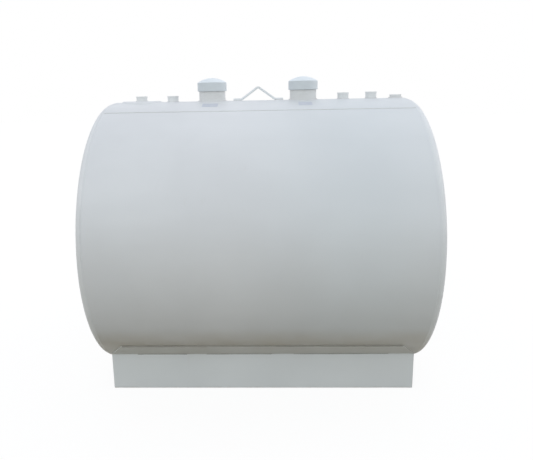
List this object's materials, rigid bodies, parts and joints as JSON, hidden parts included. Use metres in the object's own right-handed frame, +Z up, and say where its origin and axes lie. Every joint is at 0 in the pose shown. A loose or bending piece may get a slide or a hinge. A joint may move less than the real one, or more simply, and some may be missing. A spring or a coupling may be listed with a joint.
{
  "type": "double-wall fuel tank",
  "caption": "White horizontal cylindrical double-wall fuel tank on two full-length skids, with domed emergency vents, plugged pipe fittings and a lifting lug along its crest.",
  "frame": {"origin": "middle of the tank's footprint, on the ground under the skids", "axes": "+X along the tank to the right as the front is seen, +Y to the rear, +Z up"},
  "size_m": [1.906, 1.6496, 1.833],
  "materials": {
    "tank_paint": "satin white paint",
    "vent_paint": "satin white paint",
    "fitting_paint": "satin white paint",
    "skid_paint": "satin off-white paint",
    "pad_paint": "satin off-white paint",
    "inner_steel": "bare mill plate"
  },
  "bodies": {
    "tank": {"outer_wrap": "tank_paint", "top_plate": "tank_paint", "outer_head_left": "tank_paint", "outer_head_right": "tank_paint", "inner_shell": "inner_steel", "inner_head_left": "inner_steel", "inner_head_right": "inner_steel", "spacer_hoop_left": "inner_steel", "spacer_hoop_right": "inner_steel", "skid_front": "skid_paint", "skid_rear": "skid_paint", "saddle_left": "skid_paint", "saddle_right": "skid_paint", "wear_pad_front": "pad_paint", "wear_pad_rear": "pad_paint", "vent_nozzle_left": "vent_paint", "vent_nozzle_right": "vent_paint", "vent_body_left": "vent_paint", "vent_body_right": "vent_paint", "fitting_left_outer": "fitting_paint", "fitting_left_inner": "fitting_paint", "fitting_right_inner": "fitting_paint", "fitting_right_outer": "fitting_paint", "fitting_right_end": "fitting_paint", "fitting_pad": "fitting_paint", "plug_left_outer": "fitting_paint", "plug_left_inner": "fitting_paint", "plug_right_inner": "fitting_paint", "plug_right_outer": "fitting_paint", "plug_right_end": "fitting_paint", "lifting_lug": "fitting_paint"},
    "left_lid": {"vent_lid_left": "vent_paint"},
    "right_lid": {"vent_lid_right": "vent_paint"}
  },
  "joints": [
    {"name": "left_lid_lift", "type": "slide", "parent": "tank", "child": "left_lid", "axis": [0, 0, 1], "range_m": [0, 0.04]},
    {"name": "right_lid_lift", "type": "slide", "parent": "tank", "child": "right_lid", "axis": [0, 0, 1], "range_m": [0, 0.04]}
  ]
}
